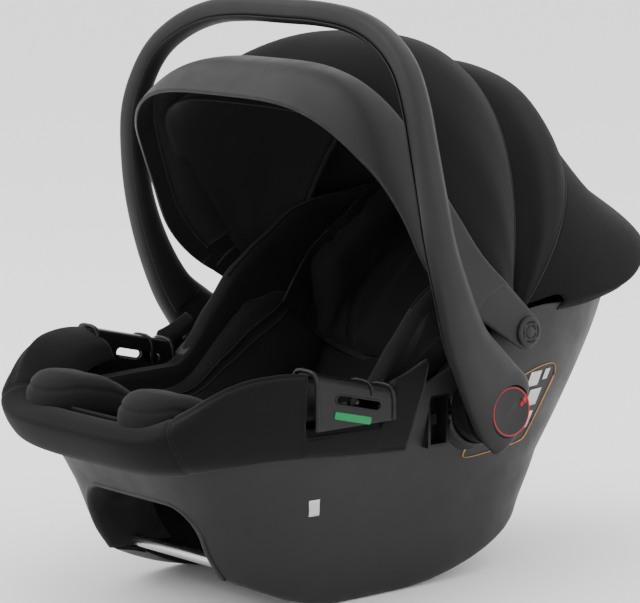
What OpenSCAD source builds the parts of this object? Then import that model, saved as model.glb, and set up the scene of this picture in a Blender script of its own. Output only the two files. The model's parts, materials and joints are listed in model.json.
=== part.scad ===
// Infant car seat (group 0+ carrier): tub shell on a rocker base, padded seat with a harness,
// carrying handle, sliding headrest and folding canopy.
// Frame: +Z up, X to the sides (the seat is symmetric), the foot end towards -Y.
// Origin: middle of the bounding box, on the floor.

/* [Shell] */
// Thickness of the outer tub's wall
shell_wall = 4; // [3:0.5:4.5]
// Half-width of the tub at its rim
rim_half_width = 178; // [176:1:179]
// Radius of the rocker curve under the tub's rear half
rocker_r = 280; // [270:5:290]
// Half-width of the arched opening in the tub's front wall
arch_half_width = 84; // [76:1:86]
// Height of the top of the arched opening
arch_top = 108; // [100:1:110]

/* [Seat] */
// Thickness of the inner seat shell
seat_wall = 3; // [2.5:0.5:3.5]
// Thickness of the foam liner
foam_t = 12; // [8:1:12]
// Thickness of the padded cover
cover_t = 5; // [4:1:6]
// Thickness of the side cushions
insert_t = 20; // [16:1:22]

/* [Handle] */
// Height of the handle's hubs
hub_z = 181; // [181:1:183]
// Radius of the round part of each hub
hub_r = 32; // [31:1:33]
// Travel of each round hub button
button_travel = 6.7; // [6.5:0.1:6.8]
// Radius of the hub pins
pin_r = 5; // [4:0.5:5.5]

/* [Canopy] */
// Height of the canopy's pivots
canopy_z = 248; // [247:1:249]
// Thickness of the canopy's fabric
fabric_t = 1.6; // [1.2:0.2:2]
// Thickness of the hard visor
visor_t = 3; // [2.5:0.5:3]

/* [Hidden] */
gap = 0.4;
hub_y = 15;
canopy_y = 56;
canopy_pin_r = 4;
rocker_front = -100;
rocker_rear = -36;
eye = [0, -45, 420];
guide_z = 181.5;
ledge = 24;
seat_back = 268;
cover_in = seat_wall + foam_t + 2 * gap;
seat_face = cover_in + cover_t;

black = [0.08, 0.08, 0.08];
charcoal = [0.2, 0.2, 0.2];
cloth = [0.06, 0.06, 0.06];
steel = [0.72, 0.72, 0.73];
green = [0.1, 0.6, 0.33];
red = [0.75, 0.1, 0.08];
white = [0.9, 0.9, 0.9];

// ---------- curves and solids ----------

function sgn(v) = v < 0 ? -1 : 1;
function spow(v, p) = sgn(v) * pow(abs(v), p);
function mix(a, b, t) = a + (b - a) * t;
function unit(v) = v / norm(v);
function ones(list) = [for (v = list) 1];
function join(lists) = [for (l = lists) each l];

// Catmull-Rom curve through the vectors of list c, at u from 0 to len(c) - 1
function curve(c, u) =
    let(n = len(c), i = min(max(floor(u), 0), n - 2), t = u - i,
        a = c[max(i - 1, 0)], b = c[i], d = c[i + 1], e = c[min(i + 2, n - 1)])
    0.5 * (2 * b + (d - a) * t + (2 * a - 5 * b + 4 * d - e) * t * t
           + (3 * b - a - 3 * d + e) * t * t * t);

// Solid from a list of triangles, turned the right way out
module skin(pts, faces) {
    volumes = [for (f = faces) pts[f[0]] * cross(pts[f[1]], pts[f[2]])];
    turned = volumes * ones(volumes) > 0;
    polyhedron(pts, turned ? [for (f = faces) [f[2], f[1], f[0]]] : faces);
}

function halves(quads) = [for (q = quads, k = [1, 2]) [q[0], q[k], q[k + 1]]];

// Closed solid between two grids of points of one size; wrap joins the last row to the first
module slab(top, bottom, wrap = false) {
    ni = len(top);
    nj = len(top[0]);
    rows = wrap ? ni - 1 : ni - 2;
    e = nj - 1;
    function a(i, j) = (i % ni) * nj + j;
    function b(i, j) = ni * nj + a(i, j);
    sheets = [for (i = [0:rows], j = [0:e - 1]) each [
        [a(i, j), a(i, j + 1), a(i + 1, j + 1), a(i + 1, j)],
        [b(i, j), b(i + 1, j), b(i + 1, j + 1), b(i, j + 1)]]];
    edges = [for (i = [0:rows]) each [
        [a(i, 0), a(i + 1, 0), b(i + 1, 0), b(i, 0)],
        [a(i + 1, e), a(i, e), b(i, e), b(i + 1, e)]]];
    ends = wrap ? [] : [for (j = [0:e - 1]) each [
        [a(0, j + 1), a(0, j), b(0, j), b(0, j + 1)],
        [a(ni - 1, j), a(ni - 1, j + 1), b(ni - 1, j + 1), b(ni - 1, j)]]];
    skin(concat(join(top), join(bottom)), halves(concat(sheets, edges, ends)));
}

// Closed solid through a list of rings of points, with flat ends
module loft(rings) {
    n = len(rings);
    m = len(rings[0]);
    middles = [for (r = [rings[0], rings[n - 1]]) (ones(r) * r) / m];
    sides = [for (i = [0:n - 2], j = [0:m - 1])
        [i * m + j, i * m + (j + 1) % m, (i + 1) * m + (j + 1) % m, (i + 1) * m + j]];
    caps = [for (j = [0:m - 1]) each [
        [(j + 1) % m, j, n * m],
        [(n - 1) * m + j, (n - 1) * m + (j + 1) % m, n * m + 1]]];
    skin(concat(join(rings), middles), concat(halves(sides), caps));
}

// Pad with round edges, stretched over the given corner points
module pad(corners, r) {
    hull() for (p = corners) translate(p) sphere(r = r, $fn = 16);
}

// Child stood up along +X from the given point
module along_x(p) {
    translate(p) rotate([0, 90, 0]) children();
}

module both() {
    children();
    mirror([1, 0, 0]) children();
}

module side(s) {
    mirror([s < 0 ? 1 : 0, 0, 0]) children();
}

// ---------- the tub ----------

function tub_front(z) = lookup(z, [[0, -213], [25, -221], [57, -241], [106, -259],
    [156, -290], [200, -315], [235, -320]]);
function tub_back(z) = lookup(z, [[0, 148], [25, 150], [57, 160], [106, 190], [156, 220],
    [200, 245], [268, 278]]);
function tub_half(z) = rim_half_width * lookup(z, [[0, 0.62], [25, 0.68], [57, 0.74],
    [106, 0.83], [156, 0.91], [200, 0.966], [235, 1]]);

// Point of the tub's plan outline at height z, swollen by d, at t degrees from +X
function tub(z, t, d) =
    let(c = (tub_front(z) + tub_back(z)) / 2, l = (tub_back(z) - tub_front(z)) / 2,
        n = sin(t) > 0 ? lookup(z, [[40, 3.5], [110, 2.6]]) : lookup(z, [[110, 4.5], [205, 3.4]]))
    [(tub_half(z) + d) * spow(cos(t), 2 / n), c + (l + d) * spow(sin(t), 2 / n), z];

function rocker(y) = pow(max(rocker_front - y, 0), 2) / (1.25 * rocker_r)
    + pow(max(y - rocker_rear, 0), 2) / (2 * rocker_r);
function rim(y) = lookup(y, [[-320, 172], [-300, 182], [-275, 205], [-240, 222], [-185, 221],
    [-145, 214], [-105, 205], [-60, 209], [-5, 236], [25, 256], [55, 264], [278, 266]]);
function tub_low(t) = rocker(tub(12, t, 0)[1]);
function tub_high(t) = rim(tub(205, t, 0)[1]);

tub_turn = [for (i = [0:55]) i * 360 / 56];
tub_rise = [0, 0.05, 0.12, 0.22, 0.36, 0.5, 0.64, 0.78, 0.9, 1];

// One face of the tub: a ledge along the floor, then the wall; in is how far the face is set in
function tub_face(in) = [for (t = tub_turn) concat([tub(tub_low(t) + in, t, -ledge)],
    [for (s = tub_rise) tub(mix(tub_low(t) + in, tub_high(t), s), t, -in)])];

module arch_cut() {
    r = 34;
    hull() both() {
        translate([arch_half_width - r, -180, arch_top - r]) rotate([90, 0, 0])
            cylinder(r = r, h = 160, $fn = 48);
        translate([arch_half_width - 10, -340, -20]) cube([10, 160, 10]);
    }
}

module outer_shell() {
    color(charcoal) difference() {
        union() {
            slab(tub_face(0), tub_face(shell_wall), wrap = true);
            both() along_x([158, hub_y, hub_z]) cylinder(r = 38, h = 8, $fn = 64);
            both() along_x([168, canopy_y, canopy_z]) cylinder(r = 13, h = 11, $fn = 48);
        }
        arch_cut();
        guide_notch();
        both() {
            along_x([166, hub_y, hub_z]) cylinder(r = 34.6, h = 40, $fn = 64);
            along_x([150, hub_y, hub_z]) cylinder(r = pin_r, h = 40, $fn = 32);
            along_x([150, canopy_y, canopy_z]) cylinder(r = canopy_pin_r, h = 50, $fn = 32);
            translate([140, -46, 147]) cube([60, 26, 50]);
        }
    }
}

// ---------- the seat bowl ----------

function bowl_floor(a) = a > 15 ? seat_back / cos(a - 45) : lookup(a, [[-50, 348], [-45, 350],
    [-40, 351], [-30, 350], [-20, 345], [-10, 338], [5, 324], [15, 309.5]]);
function bowl_rim(a) = lookup(a, [[-50, 331], [-45, 322], [-40, 297], [-27, 256], [-16, 237],
    [-6, 196], [3, 158], [15, 142], [30, 137], [50, 143], [58, 158], [68, 195], [80, 250]]);
function bowl_half(a) = lookup(a, [[-50, 84], [-45, 110], [-40, 126], [-30, 138], [-20, 144],
    [0, 147], [50, 147], [58, 142], [63, 132], [70, 114]]);

// Point of the seat bowl: a degrees back from straight down, v from -1 to 1 across, d inwards
function bowl(a, v, d) =
    let(low = bowl_floor(a), top = bowl_rim(a),
        r = top + (low - top - d) * pow(cos(90 * v), 0.66))
    eye + [(bowl_half(a) - d) * spow(sin(90 * v), 0.66), r * sin(a), -r * cos(a)];

// Depth of the cover's back face: it lies on the foam, and on the shell at the front edge
function cover_lift(a) = lookup(a, [[-45, seat_wall + gap], [-38.5, cover_in]]);

function span(lo, hi, n) = [for (i = [0:n]) mix(lo, hi, i / n)];
function bowl_sheet(d, angles, across) = [for (a = angles) [for (v = across) bowl(a, v, d)]];
function slice(list, from, to) = [for (i = [from:to]) list[i]];

// Every layer of the bowl is laid out on the same stations, so that the layers stay apart
bowl_angles = span(-45, 68, 21);
bowl_across = span(-1, 1, 16);

module bowl_layer(d, t, angles, across) {
    slab(bowl_sheet(d, angles, across), bowl_sheet(d + t, angles, across));
}

// Room for a belt guide in the seat's side wall
module guide_notch() {
    both() translate([110, -188, guide_z]) cube([80, 92, 90]);
}

module seat_shell() {
    color(charcoal) difference() {
        bowl_layer(0, seat_wall, bowl_angles, bowl_across);
        guide_notch();
    }
}

module foam_liner() {
    color([0.85, 0.85, 0.83]) difference() {
        bowl_layer(seat_wall + gap, foam_t, slice(bowl_angles, 2, 21), bowl_across);
        guide_notch();
    }
}

module cover_seat() {
    color(cloth) difference() {
        slab([for (a = bowl_angles) [for (v = bowl_across) bowl(a, v, cover_lift(a))]],
             [for (a = bowl_angles) [for (v = bowl_across) bowl(a, v, cover_lift(a) + cover_t)]]);
        guide_notch();
    }
}

// Padded block that follows the bowl's wall
module body_insert(s) {
    side(s) color(cloth) bowl_layer(seat_face + gap, insert_t, slice(bowl_angles, 4, 11),
                                    slice(bowl_across, 11, 15));
}

module thigh_pad(s) {
    side(s) color(cloth) hull() for (p = [[34, -292, 219, 9], [62, -288, 219, 9],
            [32, -260, 207, 15], [74, -250, 206, 14], [32, -212, 177, 15], [85, -206, 181, 14],
            [33, -212, 164, 15], [75, -206, 171, 14]])
        translate([p[0], p[1], p[2]]) sphere(r = p[3], $fn = 16);
}

// ---------- the cover's skirt and front lip ----------

function cover_top(y) = lookup(y, [[-320, 187], [-305, 192], [-288, 206], [-265, 224], [-225, 235],
    [-185, 234], [-145, 226], [-105, 217], [-67, 228], [-36, 246]]);
function lip_swell(y) = lookup(y, [[-318, 35], [-300, 28], [-270, 15], [-200, 8], [-35, 6]]);
function cover_hem(y) = lookup(y, [[-316, 140], [-290, 150], [-255, 155], [-104, 151], [-35, 147]]);
skirt_off = 1.6;

function skirt_row(t, outside) =
    let(y = tub(205, t, 0)[1], top = cover_top(y), b = lip_swell(y), hem = cover_hem(y),
        free = [[b * 0.5, hem], [b, hem + 14], [b, mix(hem, top, 0.55)], [b * 0.8, top - 9],
                [b * 0.3, top - 1], [-7, top]],
        held = [[skirt_off, hem], [skirt_off, hem + 14], [skirt_off, mix(hem, top, 0.55)],
                [skirt_off, top - 14], [skirt_off, rim(y) + skirt_off], [-7, rim(y) + skirt_off]])
    [for (p = outside ? free : held) tub(p[1], t, p[0])];

module cover_skirt() {
    turns = concat([for (t = tub_turn) if (t >= 180) t], [360]);
    color(cloth) difference() {
        slab([for (t = turns) skirt_row(t, true)], [for (t = turns) skirt_row(t, false)]);
        both() translate([120, -191, guide_z]) cube([80, 97, 80]);
        both() translate([120, -48, 140]) cube([80, 48, 120]);
    }
}

// ---------- vehicle belt guides ----------

slot_slope = -13.5;

module guide_face() {
    difference() {
        offset(r = 5, $fn = 24) offset(delta = -5)
            polygon([[-187, 235], [-187, guide_z + gap], [-97, guide_z + gap], [-97, 213]]);
        translate([-139, 203]) rotate(slot_slope) square([54, 9], center = true);
    }
}

module belt_guide(s) {
    side(s) color(black) {
        for (x = [145.5, 173.5]) translate([x, 0, 0]) rotate([90, 0, 90])
            linear_extrude(4.5) guide_face();
        translate([149, -186, guide_z + gap]) cube([25, 88, 2.5]);
        hull() for (p = [[-182, 229], [-103, 209.5]])
            translate([147, p[0], p[1]]) cube([29, 1, 4]);
    }
}

module guide_marks() {
    color(green) both() translate([178.1, -146, 190]) rotate([90, 0, 90])
        linear_extrude(0.6) rotate(slot_slope) square([44, 7], center = true);
}

module shoulder_belt_hook() {
    color(black) translate([0, 217.5, 150]) rotate([-31, 0, 0]) difference() {
        translate([-46, 0, -7]) cube([92, 17, 14]);
        translate([-38, -1, -8]) cube([76, 14, 16]);
    }
}

// ---------- base bars and adapter latches ----------

bar_z = 40;
bar_front_y = -190;
bar_rear_y = 60;

module base_bar(y, half) {
    color(steel) along_x([-half, y, bar_z]) cylinder(r = 6, h = 2 * half, $fn = 48);
}

module bar_brackets() {
    color(charcoal) both() for (b = [[bar_front_y, 84], [bar_rear_y, 78]]) difference() {
        foot = max(rocker(b[0] - 10), rocker(b[0] + 10)) + shell_wall + 1.5;
        translate([b[1], b[0] - 10, foot]) cube([8, 20, 52 - foot]);
        along_x([b[1] - 1, b[0], bar_z]) cylinder(r = 6.05, h = 10, $fn = 48);
    }
}

module adapter_socket(s) {
    side(s) color(black) difference() {
        translate([150, -45.6, 147.4]) cube([18, 25.2, 49.2]);
        translate([153, -42.6, 150.4]) cube([20, 19.2, 43.2]);
        translate([149, -39, 166]) cube([5, 12, 12]);
    }
}

module latch_bolt(s) {
    side(s) color(steel) translate([147, -38, 167]) cube([13, 10, 10]);
}

module release_lever() {
    color(black) translate([0, 257.5, 222]) rotate([-25.9, 0, 0]) difference() {
        pad([for (x = [-42, 42], y = [5, 9], z = [-8, 10]) [x, y, z]], 4);
        translate([-34, 0, -14]) cube([68, 9, 9]);
    }
}

// ---------- handle hubs ----------

// Ring about the hub's axis, from x0 to x1
module hub_ring(x0, x1, outer_r, inner_r) {
    along_x([x0, hub_y, hub_z]) difference() {
        cylinder(r = outer_r, h = x1 - x0, $fn = 64);
        translate([0, 0, -1]) cylinder(r = inner_r, h = x1 - x0 + 2, $fn = 64);
    }
}

module hub_holes(x0, x1, at_r, r) {
    for (k = [0:2]) along_x([x0, hub_y + at_r * cos(120 * k + 90), hub_z + at_r * sin(120 * k + 90)])
        cylinder(r = r, h = x1 - x0, $fn = 24);
}

module hub_plate(s) {
    side(s) color(black) difference() {
        union() {
            hub_ring(166.4, 171, 34, pin_r + 0.03);
            hub_ring(171, 189.5, 34, 16.6);
        }
        hub_holes(160, 195, 26, 2.1);
    }
}

module hub_screws() {
    color(steel) both() {
        hub_holes(167, 187.5, 26, 2);
        hub_holes(189.6, 190, 26, 3);
    }
}

module handle_pins() {
    color(steel) both() along_x([152, hub_y, hub_z]) cylinder(r = pin_r, h = 47.5, $fn = 48);
}

module lock_gear(s) {
    side(s) color(white) along_x([183, hub_y, hub_z]) linear_extrude(12.8) difference() {
        union() {
            circle(r = 14, $fn = 48);
            for (k = [0:11]) rotate(30 * k) translate([14.5, 0]) square([3, 4], center = true);
        }
        circle(r = pin_r + 0.4, $fn = 48);
    }
}

function coil(u, r, pitch) = [r * cos(360 * u), r * sin(360 * u), pitch * u];

module lock_spring(s) {
    turns = 4;
    rings = [for (i = [0:turns * 12]) let(u = i / 12, c = coil(u, 8.5, 2.5)) [for (k = [0:5])
        [c[0] + 0.7 * cos(60 * k) * cos(360 * u), c[1] + 0.7 * cos(60 * k) * sin(360 * u),
         c[2] + 0.7 * sin(60 * k)]]];
    side(s) color(steel) along_x([172, hub_y, hub_z]) loft(rings);
}

module handle_hub(s) {
    side(s) color(charcoal) difference() {
        union() {
            hub_ring(190.4, 197, hub_r, 16.6);
            hub_ring(197, 200, hub_r, pin_r + 0.06);
            hub_ring(200, 215, hub_r, 24.6);
        }
        hub_holes(190, 205, 12, 2.7);
    }
}

module handle_button(s) {
    face = 200.7 + button_travel;
    side(s) color(charcoal) {
        along_x([face, hub_y, hub_z]) cylinder(r = 24, h = 6.6, $fn = 64);
        hub_holes(196, face, 12, 2);
    }
}

// ---------- handle ----------

// Half of the handle's path, from below a hub to the top: x, y, z, width, thickness
handle_path = [[203, 18, 153, 36, 16], [203, 15, 181, 72, 25], [205, -4, 206, 66, 26],
    [211, -26, 231, 54, 26], [216, -46, 257, 42, 25], [220, -65, 298, 32, 24],
    [220, -80, 343, 26, 23], [218, -88, 385, 24, 22], [212, -93, 430, 23, 21],
    [200, -91, 466, 22, 21], [180, -86, 497, 22, 20], [148, -80, 520, 22, 20],
    [105, -76, 535, 22, 20], [55, -75, 540.5, 22, 20], [0, -75, 541, 22, 20]];

function handle_lean(z) = lookup(z, [[181, -38], [206, -40], [231, -38], [257, -30], [298, -21],
    [343, -13], [385, -8], [430, 0], [466, 7], [500, 12]]);

// Point of the handle's section at path place u, a degrees round from its inner face
function handle_point(u, a, swell) =
    let(p = curve(handle_path, u), q = curve(handle_path, u + 0.05), o = curve(handle_path, u - 0.05),
        t = unit([q[0] - o[0], q[1] - o[1], q[2] - o[2]]), g = handle_lean(p[2]),
        b = [0, -cos(g), sin(g)], n = unit(cross(b, t)))
    [p[0], p[1], p[2]] + (p[4] / 2 + swell) * spow(cos(a), 0.75) * n
        + p[3] / 2 * spow(sin(a), 0.75) * b;

function handle_rings(us, angles, swell) =
    concat([for (u = us) [for (a = angles) handle_point(u, a, swell)]],
           [for (i = [len(us) - 2:-1:0]) [for (a = angles)
               let(p = handle_point(us[i], a, swell)) [-p[0], p[1], p[2]]]]);

grip_us = span(0.7, 14, 24);

module handle_arch() {
    color(charcoal) difference() {
        loft(handle_rings(concat([0, 0.35], grip_us), [for (k = [0:13]) k * 360 / 14], 0));
        both() along_x([180, hub_y, hub_z]) cylinder(r = hub_r + 0.3, h = 60, $fn = 64);
    }
}

module handle_inner_cover() {
    us = slice(grip_us, 5, 24);
    arc = [for (k = [-2:2]) k * 360 / 14];
    color(black) slab(handle_rings(us, arc, 1.8), handle_rings(us, arc, gap));
}

// ---------- canopy ----------

// Point of a hoop about the canopy's axis: half-width a, top radius r, leaned back by g degrees
function hoop(a, r, n, g, f) =
    let(w = pow(max(sin(f), 0), 2 / n))
    [a * spow(cos(f), 2 / n), canopy_y + r * w * sin(g), canopy_z + r * w * cos(g)];

visor_front = [[40, -76], [88, -70], [139, -61.5], [183, -52.5], [219, -48.5], [257, -46.5], [303, -44]];
visor_rear = [[40, -24], [69, -33], [142, -36], [173, -35], [223, -32], [285, -29.5]];

// Point of the visor: f degrees round its arch, w from front rim to rear edge, off outwards
function visor_point(f, w, off) =
    let(n = mix(3.9, 3.4, w), r = mix(303, 284, w) + 8 * sin(180 * w) * sin(f),
        now = r * pow(sin(f), 2 / n))
    hoop(190.5 + off, r + off, n, mix(lookup(now, visor_front), lookup(now, visor_rear), w), f);

module canopy_visor() {
    turns = [for (k = span(-1, 1, 36)) 90 + 87 * sin(90 * k)];
    bands = span(0, 1, 4);
    color(charcoal) difference() {
        union() {
            slab([for (f = turns) [for (w = bands) visor_point(f, w, 2)]],
                 [for (f = turns) [for (w = bands) visor_point(f, w, 2 - visor_t)]]);
            both() hull() {
                along_x([189, canopy_y, canopy_z]) cylinder(r = 17, h = 3.4, $fn = 32);
                for (w = [0, 1]) translate(visor_point(6, w, 0)) sphere(r = 1.5, $fn = 12);
            }
        }
        both() along_x([180, canopy_y, canopy_z]) cylinder(r = canopy_pin_r + 0.06, h = 20, $fn = 32);
    }
}

module canopy_caps() {
    color(charcoal) both() along_x([192.8, canopy_y, canopy_z]) difference() {
        cylinder(r = 14, h = 3.6, $fn = 48);
        for (r = [4, 8]) translate([0, 0, 2.8]) difference() {
            cylinder(r = r + 2, h = 2, $fn = 48);
            translate([0, 0, -1]) cylinder(r = r, h = 4, $fn = 48);
        }
    }
}

module canopy_pins() {
    color(steel) both() along_x([156, canopy_y, canopy_z])
        cylinder(r = canopy_pin_r, h = 36.4, $fn = 32);
}

mid_bow = [158.5, 240, 2, 13.6];
rear_bow = [164.5, 232, 2, 46];
visor_seam = [183.5, 272, 3.4, -36.5];

module bow(b, foot) {
    turns = span(4, 176, 22);
    rings = [for (f = turns) let(p = hoop(b[0], b[1], b[2], b[3], f), q = hoop(b[0], b[1], b[2], b[3], f + 1),
        t = unit(q - p), m = [0, cos(b[3]), -sin(b[3])], o = cross(m, t))
        [for (k = [0:5]) p + 2.5 * cos(60 * k) * m + 2.5 * sin(60 * k) * o]];
    color(steel) {
        loft(rings);
        both() difference() {
            union() {
                along_x([foot, canopy_y, canopy_z]) cylinder(r = 8, h = 4, $fn = 32);
                hull() {
                    along_x([foot, canopy_y, canopy_z]) cylinder(r = 3, h = 4, $fn = 32);
                    translate(hoop(b[0], b[1], b[2], b[3], 5)) sphere(r = 2.5, $fn = 12);
                }
            }
            along_x([foot - 8, canopy_y, canopy_z])
                cylinder(r = canopy_pin_r + 0.06, h = 20, $fn = 32);
        }
    }
}

// Cloth between two hoops, blown outwards by swell
function cloth_point(h0, h1, f, w, swell, off) =
    let(h = mix(h0, h1, w), o = swell * sin(180 * w) + off)
    hoop(h[0] + 0.3 * swell * sin(180 * w) + off, h[1] + o, h[2], h[3], f);

module cloth_panel(h0, h1, swell) {
    turns = span(8, 172, 26);
    ws = span(0.02, 0.98, 6);
    color(cloth) slab([for (f = turns) [for (w = ws) cloth_point(h0, h1, f, w, swell, fabric_t + 3.2)]],
                      [for (f = turns) [for (w = ws) cloth_point(h0, h1, f, w, swell, 3.2)]]);
}

// Rear drape: from the rear bow out to a peak behind the tub and in again to the hem
drape_peak = 337.6;
function drape_edge(f, k) =
    let(g = rear_bow[3], b = hoop(rear_bow[0], rear_bow[1], rear_bow[2], g, f),
        s = pow(sin(f), 0.8), c = cos(f))
    k == 0 ? b + 3.4 * [c, cos(g) + sin(f) * sin(g), sin(f) * cos(g) - sin(g)] :
    k == 1 ? [168 * spow(c, 0.9), mix(82, 266, s), mix(268, 366, pow(sin(f), 1.5))] :
    k == 2 ? [170 * spow(c, 0.9), mix(78, 334, s), mix(266, 322, pow(sin(f), 2))] :
    k == 3 ? [170 * spow(c, 0.9), mix(76, drape_peak, s), mix(264, 298, pow(sin(f), 2))] :
             [168 * spow(c, 0.9), mix(74, 309, s), mix(261, 275, pow(sin(f), 2))];

// Outward direction of the drape at each of its edges
drape_out = [[0.3, 0.5, 0.87], [0.6, 0.55, 0.83], [0.7, 0.7, 0.7], [1, 1, 0.1], [1, 0.6, -0.75]];

module canopy_drape() {
    turns = span(12, 168, 26);
    color(cloth) slab([for (f = turns) [for (k = [0:4]) let(n = drape_out[k])
                          drape_edge(f, k) + fabric_t * [n[0] * cos(f), n[1] * sin(f), n[2]]]],
                      [for (f = turns) [for (k = [0:4]) drape_edge(f, k)]]);
}

module canopy_hook() {
    color(black) both() pad([[66, 288, 264], [66, 290, 251]], 2.5);
}

// ---------- headrest ----------

function head_half(t) = lookup(t, [[-88, 97], [-50, 107], [-20, 110], [0, 106], [15, 100], [30, 93],
    [56, 91], [74, 84], [92, 66]]);

// Point in the backrest's own frame: x across, t up the slope, n out of the backrest
function on_back(x, t, n) = eye + [x, (seat_back - n + t) * sin(45), (t - seat_back + n) * cos(45)];
function head_point(t, v, d) =
    on_back((head_half(t) - d) * spow(sin(90 * v), 0.6), t,
            seat_face + 3 + d + (90 - d) * (1 - pow(cos(90 * v), 0.6)));

module head_layer(d, t) {
    rows = span(-88, 92, 8);
    cols = span(-1, 1, 16);
    slab([for (r = rows) [for (v = cols) head_point(r, v, d)]],
         [for (r = rows) [for (v = cols) head_point(r, v, d + t)]]);
}

module headrest_shell() {
    color(black) head_layer(0, 3);
}

module headrest_pad() {
    color(cloth) head_layer(3 + gap, 22);
}

// ---------- harness ----------

module floor_strip(x0, x1, d, t, angles) {
    function row(a, e) = [for (x = [x0, x1])
        eye + [x, (bowl_floor(a) - e) * sin(a), -(bowl_floor(a) - e) * cos(a)]];
    slab([for (a = angles) row(a, d)], [for (a = angles) row(a, d + t)]);
}

module shoulder_straps() {
    color(black) both() floor_strip(14, 50, seat_face + 5, 1.6, span(-6, 20, 8));
}

module crotch_strap() {
    color(black) floor_strip(-18, 18, seat_face + 4, 1.6, span(-24, -16, 3));
}

buckle_place = eye + (bowl_floor(-11) - seat_face - 16) * [0, sin(-11), -cos(-11)];

module buckle() {
    color(black) translate(buckle_place) rotate([-11, 0, 0]) difference() {
        pad([for (x = [-18, 18], y = [-20, 20], z = [-4, 4]) [x, y, z]], 6);
        translate([-12, -18, 5]) cube([24, 24, 10]);
    }
}

module buckle_button() {
    color(red) translate(buckle_place) rotate([-11, 0, 0])
        translate([-11.5, -17.5, 7.6]) cube([23, 23, 3.6]);
}

adjuster_place = eye + (bowl_floor(-36) - seat_face - 8) * [0, sin(-36), -cos(-36)];

module adjuster_housing() {
    color(black) translate(adjuster_place) rotate([-36, 0, 0]) difference() {
        translate([-13, -20, -6]) cube([26, 40, 12]);
        translate([-10, -17, 2]) cube([20, 30, 5]);
    }
}

module adjuster_lever() {
    color(steel) translate(adjuster_place) rotate([-36, 0, 0])
        translate([-9.5, -16.5, 3.4]) cube([19, 28, 2]);
}

module adjuster_strap() {
    color(black) floor_strip(-19, 19, -5, 1.6, span(-34, 40, 16));
}

module strap_yoke() {
    color(steel) floor_strip(-24, 24, -10, 2.5, span(37, 41, 2));
}

// ---------- labels ----------

function label_sheet(turns, heights, d) = [for (t = turns) [for (z = heights) tub(z, t, d)]];

module side_labels() {
    turns = [14.1, tub_turn[3], tub_turn[4]];
    color(white) both() slab(label_sheet(turns, span(128, 208, 6), 0.8),
                             label_sheet(turns, span(128, 208, 6), 1.2));
}

module front_label() {
    turns = span(-18, -15, 2);
    color(white) slab(label_sheet(turns, span(98, 112, 2), 0.4),
                      label_sheet(turns, span(98, 112, 2), 0.8));
}

outer_shell();
seat_shell();
foam_liner();
cover_skirt();
cover_seat();
body_insert(-1);  // body_insert_left
body_insert(1);  // body_insert_right
thigh_pad(-1);  // thigh_pad_left
thigh_pad(1);  // thigh_pad_right
belt_guide(-1);  // belt_guide_left
belt_guide(1);  // belt_guide_right
guide_marks();
shoulder_belt_hook();
base_bar(bar_front_y, 96);  // front_base_bar
base_bar(bar_rear_y, 92);  // rear_base_bar
bar_brackets();
adapter_socket(-1);  // adapter_socket_left
adapter_socket(1);  // adapter_socket_right
latch_bolt(-1);  // latch_bolt_left
latch_bolt(1);  // latch_bolt_right
release_lever();
hub_plate(-1);  // hub_plate_left
hub_plate(1);  // hub_plate_right
hub_screws();
handle_pins();
shoulder_straps();
crotch_strap();
buckle();
buckle_button();
adjuster_housing();
adjuster_lever();
adjuster_strap();
strap_yoke();
side_labels();
front_label();
handle_arch();
handle_inner_cover();
handle_hub(-1);  // handle_hub_left
handle_hub(1);  // handle_hub_right
handle_button(-1);  // handle_button_left
handle_button(1);  // handle_button_right
lock_gear(-1);  // lock_gear_left
lock_gear(1);  // lock_gear_right
lock_spring(-1);  // lock_spring_left
lock_spring(1);  // lock_spring_right
canopy_pins();
canopy_visor();
canopy_caps();
cloth_panel(visor_seam, mid_bow, 15);  // canopy_front_panel
bow(mid_bow, 154);  // canopy_mid_bow
cloth_panel(mid_bow, rear_bow, 12);  // canopy_rear_panel
bow(rear_bow, 160);  // canopy_rear_bow
canopy_drape();
canopy_hook();
headrest_shell();
headrest_pad();
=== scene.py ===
"""Infant car seat: the visual model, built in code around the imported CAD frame."""
import json
import math

import bmesh
import bpy
import numpy as np
from mathutils import Matrix, Vector
from mathutils.kdtree import KDTree


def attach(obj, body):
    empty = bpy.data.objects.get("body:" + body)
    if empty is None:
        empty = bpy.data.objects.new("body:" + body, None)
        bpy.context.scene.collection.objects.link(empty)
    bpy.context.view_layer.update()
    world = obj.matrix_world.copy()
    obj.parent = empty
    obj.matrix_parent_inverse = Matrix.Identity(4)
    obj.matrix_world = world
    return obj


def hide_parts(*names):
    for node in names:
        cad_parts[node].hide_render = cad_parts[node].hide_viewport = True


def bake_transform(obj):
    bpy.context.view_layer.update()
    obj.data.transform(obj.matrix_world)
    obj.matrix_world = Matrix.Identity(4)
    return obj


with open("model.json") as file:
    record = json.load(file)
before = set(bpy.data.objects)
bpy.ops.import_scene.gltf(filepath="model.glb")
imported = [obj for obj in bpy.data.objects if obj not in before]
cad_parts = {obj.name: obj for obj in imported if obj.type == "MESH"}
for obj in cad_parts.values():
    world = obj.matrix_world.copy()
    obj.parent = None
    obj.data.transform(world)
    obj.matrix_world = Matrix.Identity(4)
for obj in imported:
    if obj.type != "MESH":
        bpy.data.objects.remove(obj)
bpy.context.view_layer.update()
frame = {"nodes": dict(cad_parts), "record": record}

MM = 0.001
scene = bpy.context.scene

# ---------------------------------------------------------------- camera and stage

CAM_TURN, CAM_TILT = math.radians(49.5727), math.radians(8.8954)
CAM_PLACE = (2.217275, -1.921209, 0.717989)


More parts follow.
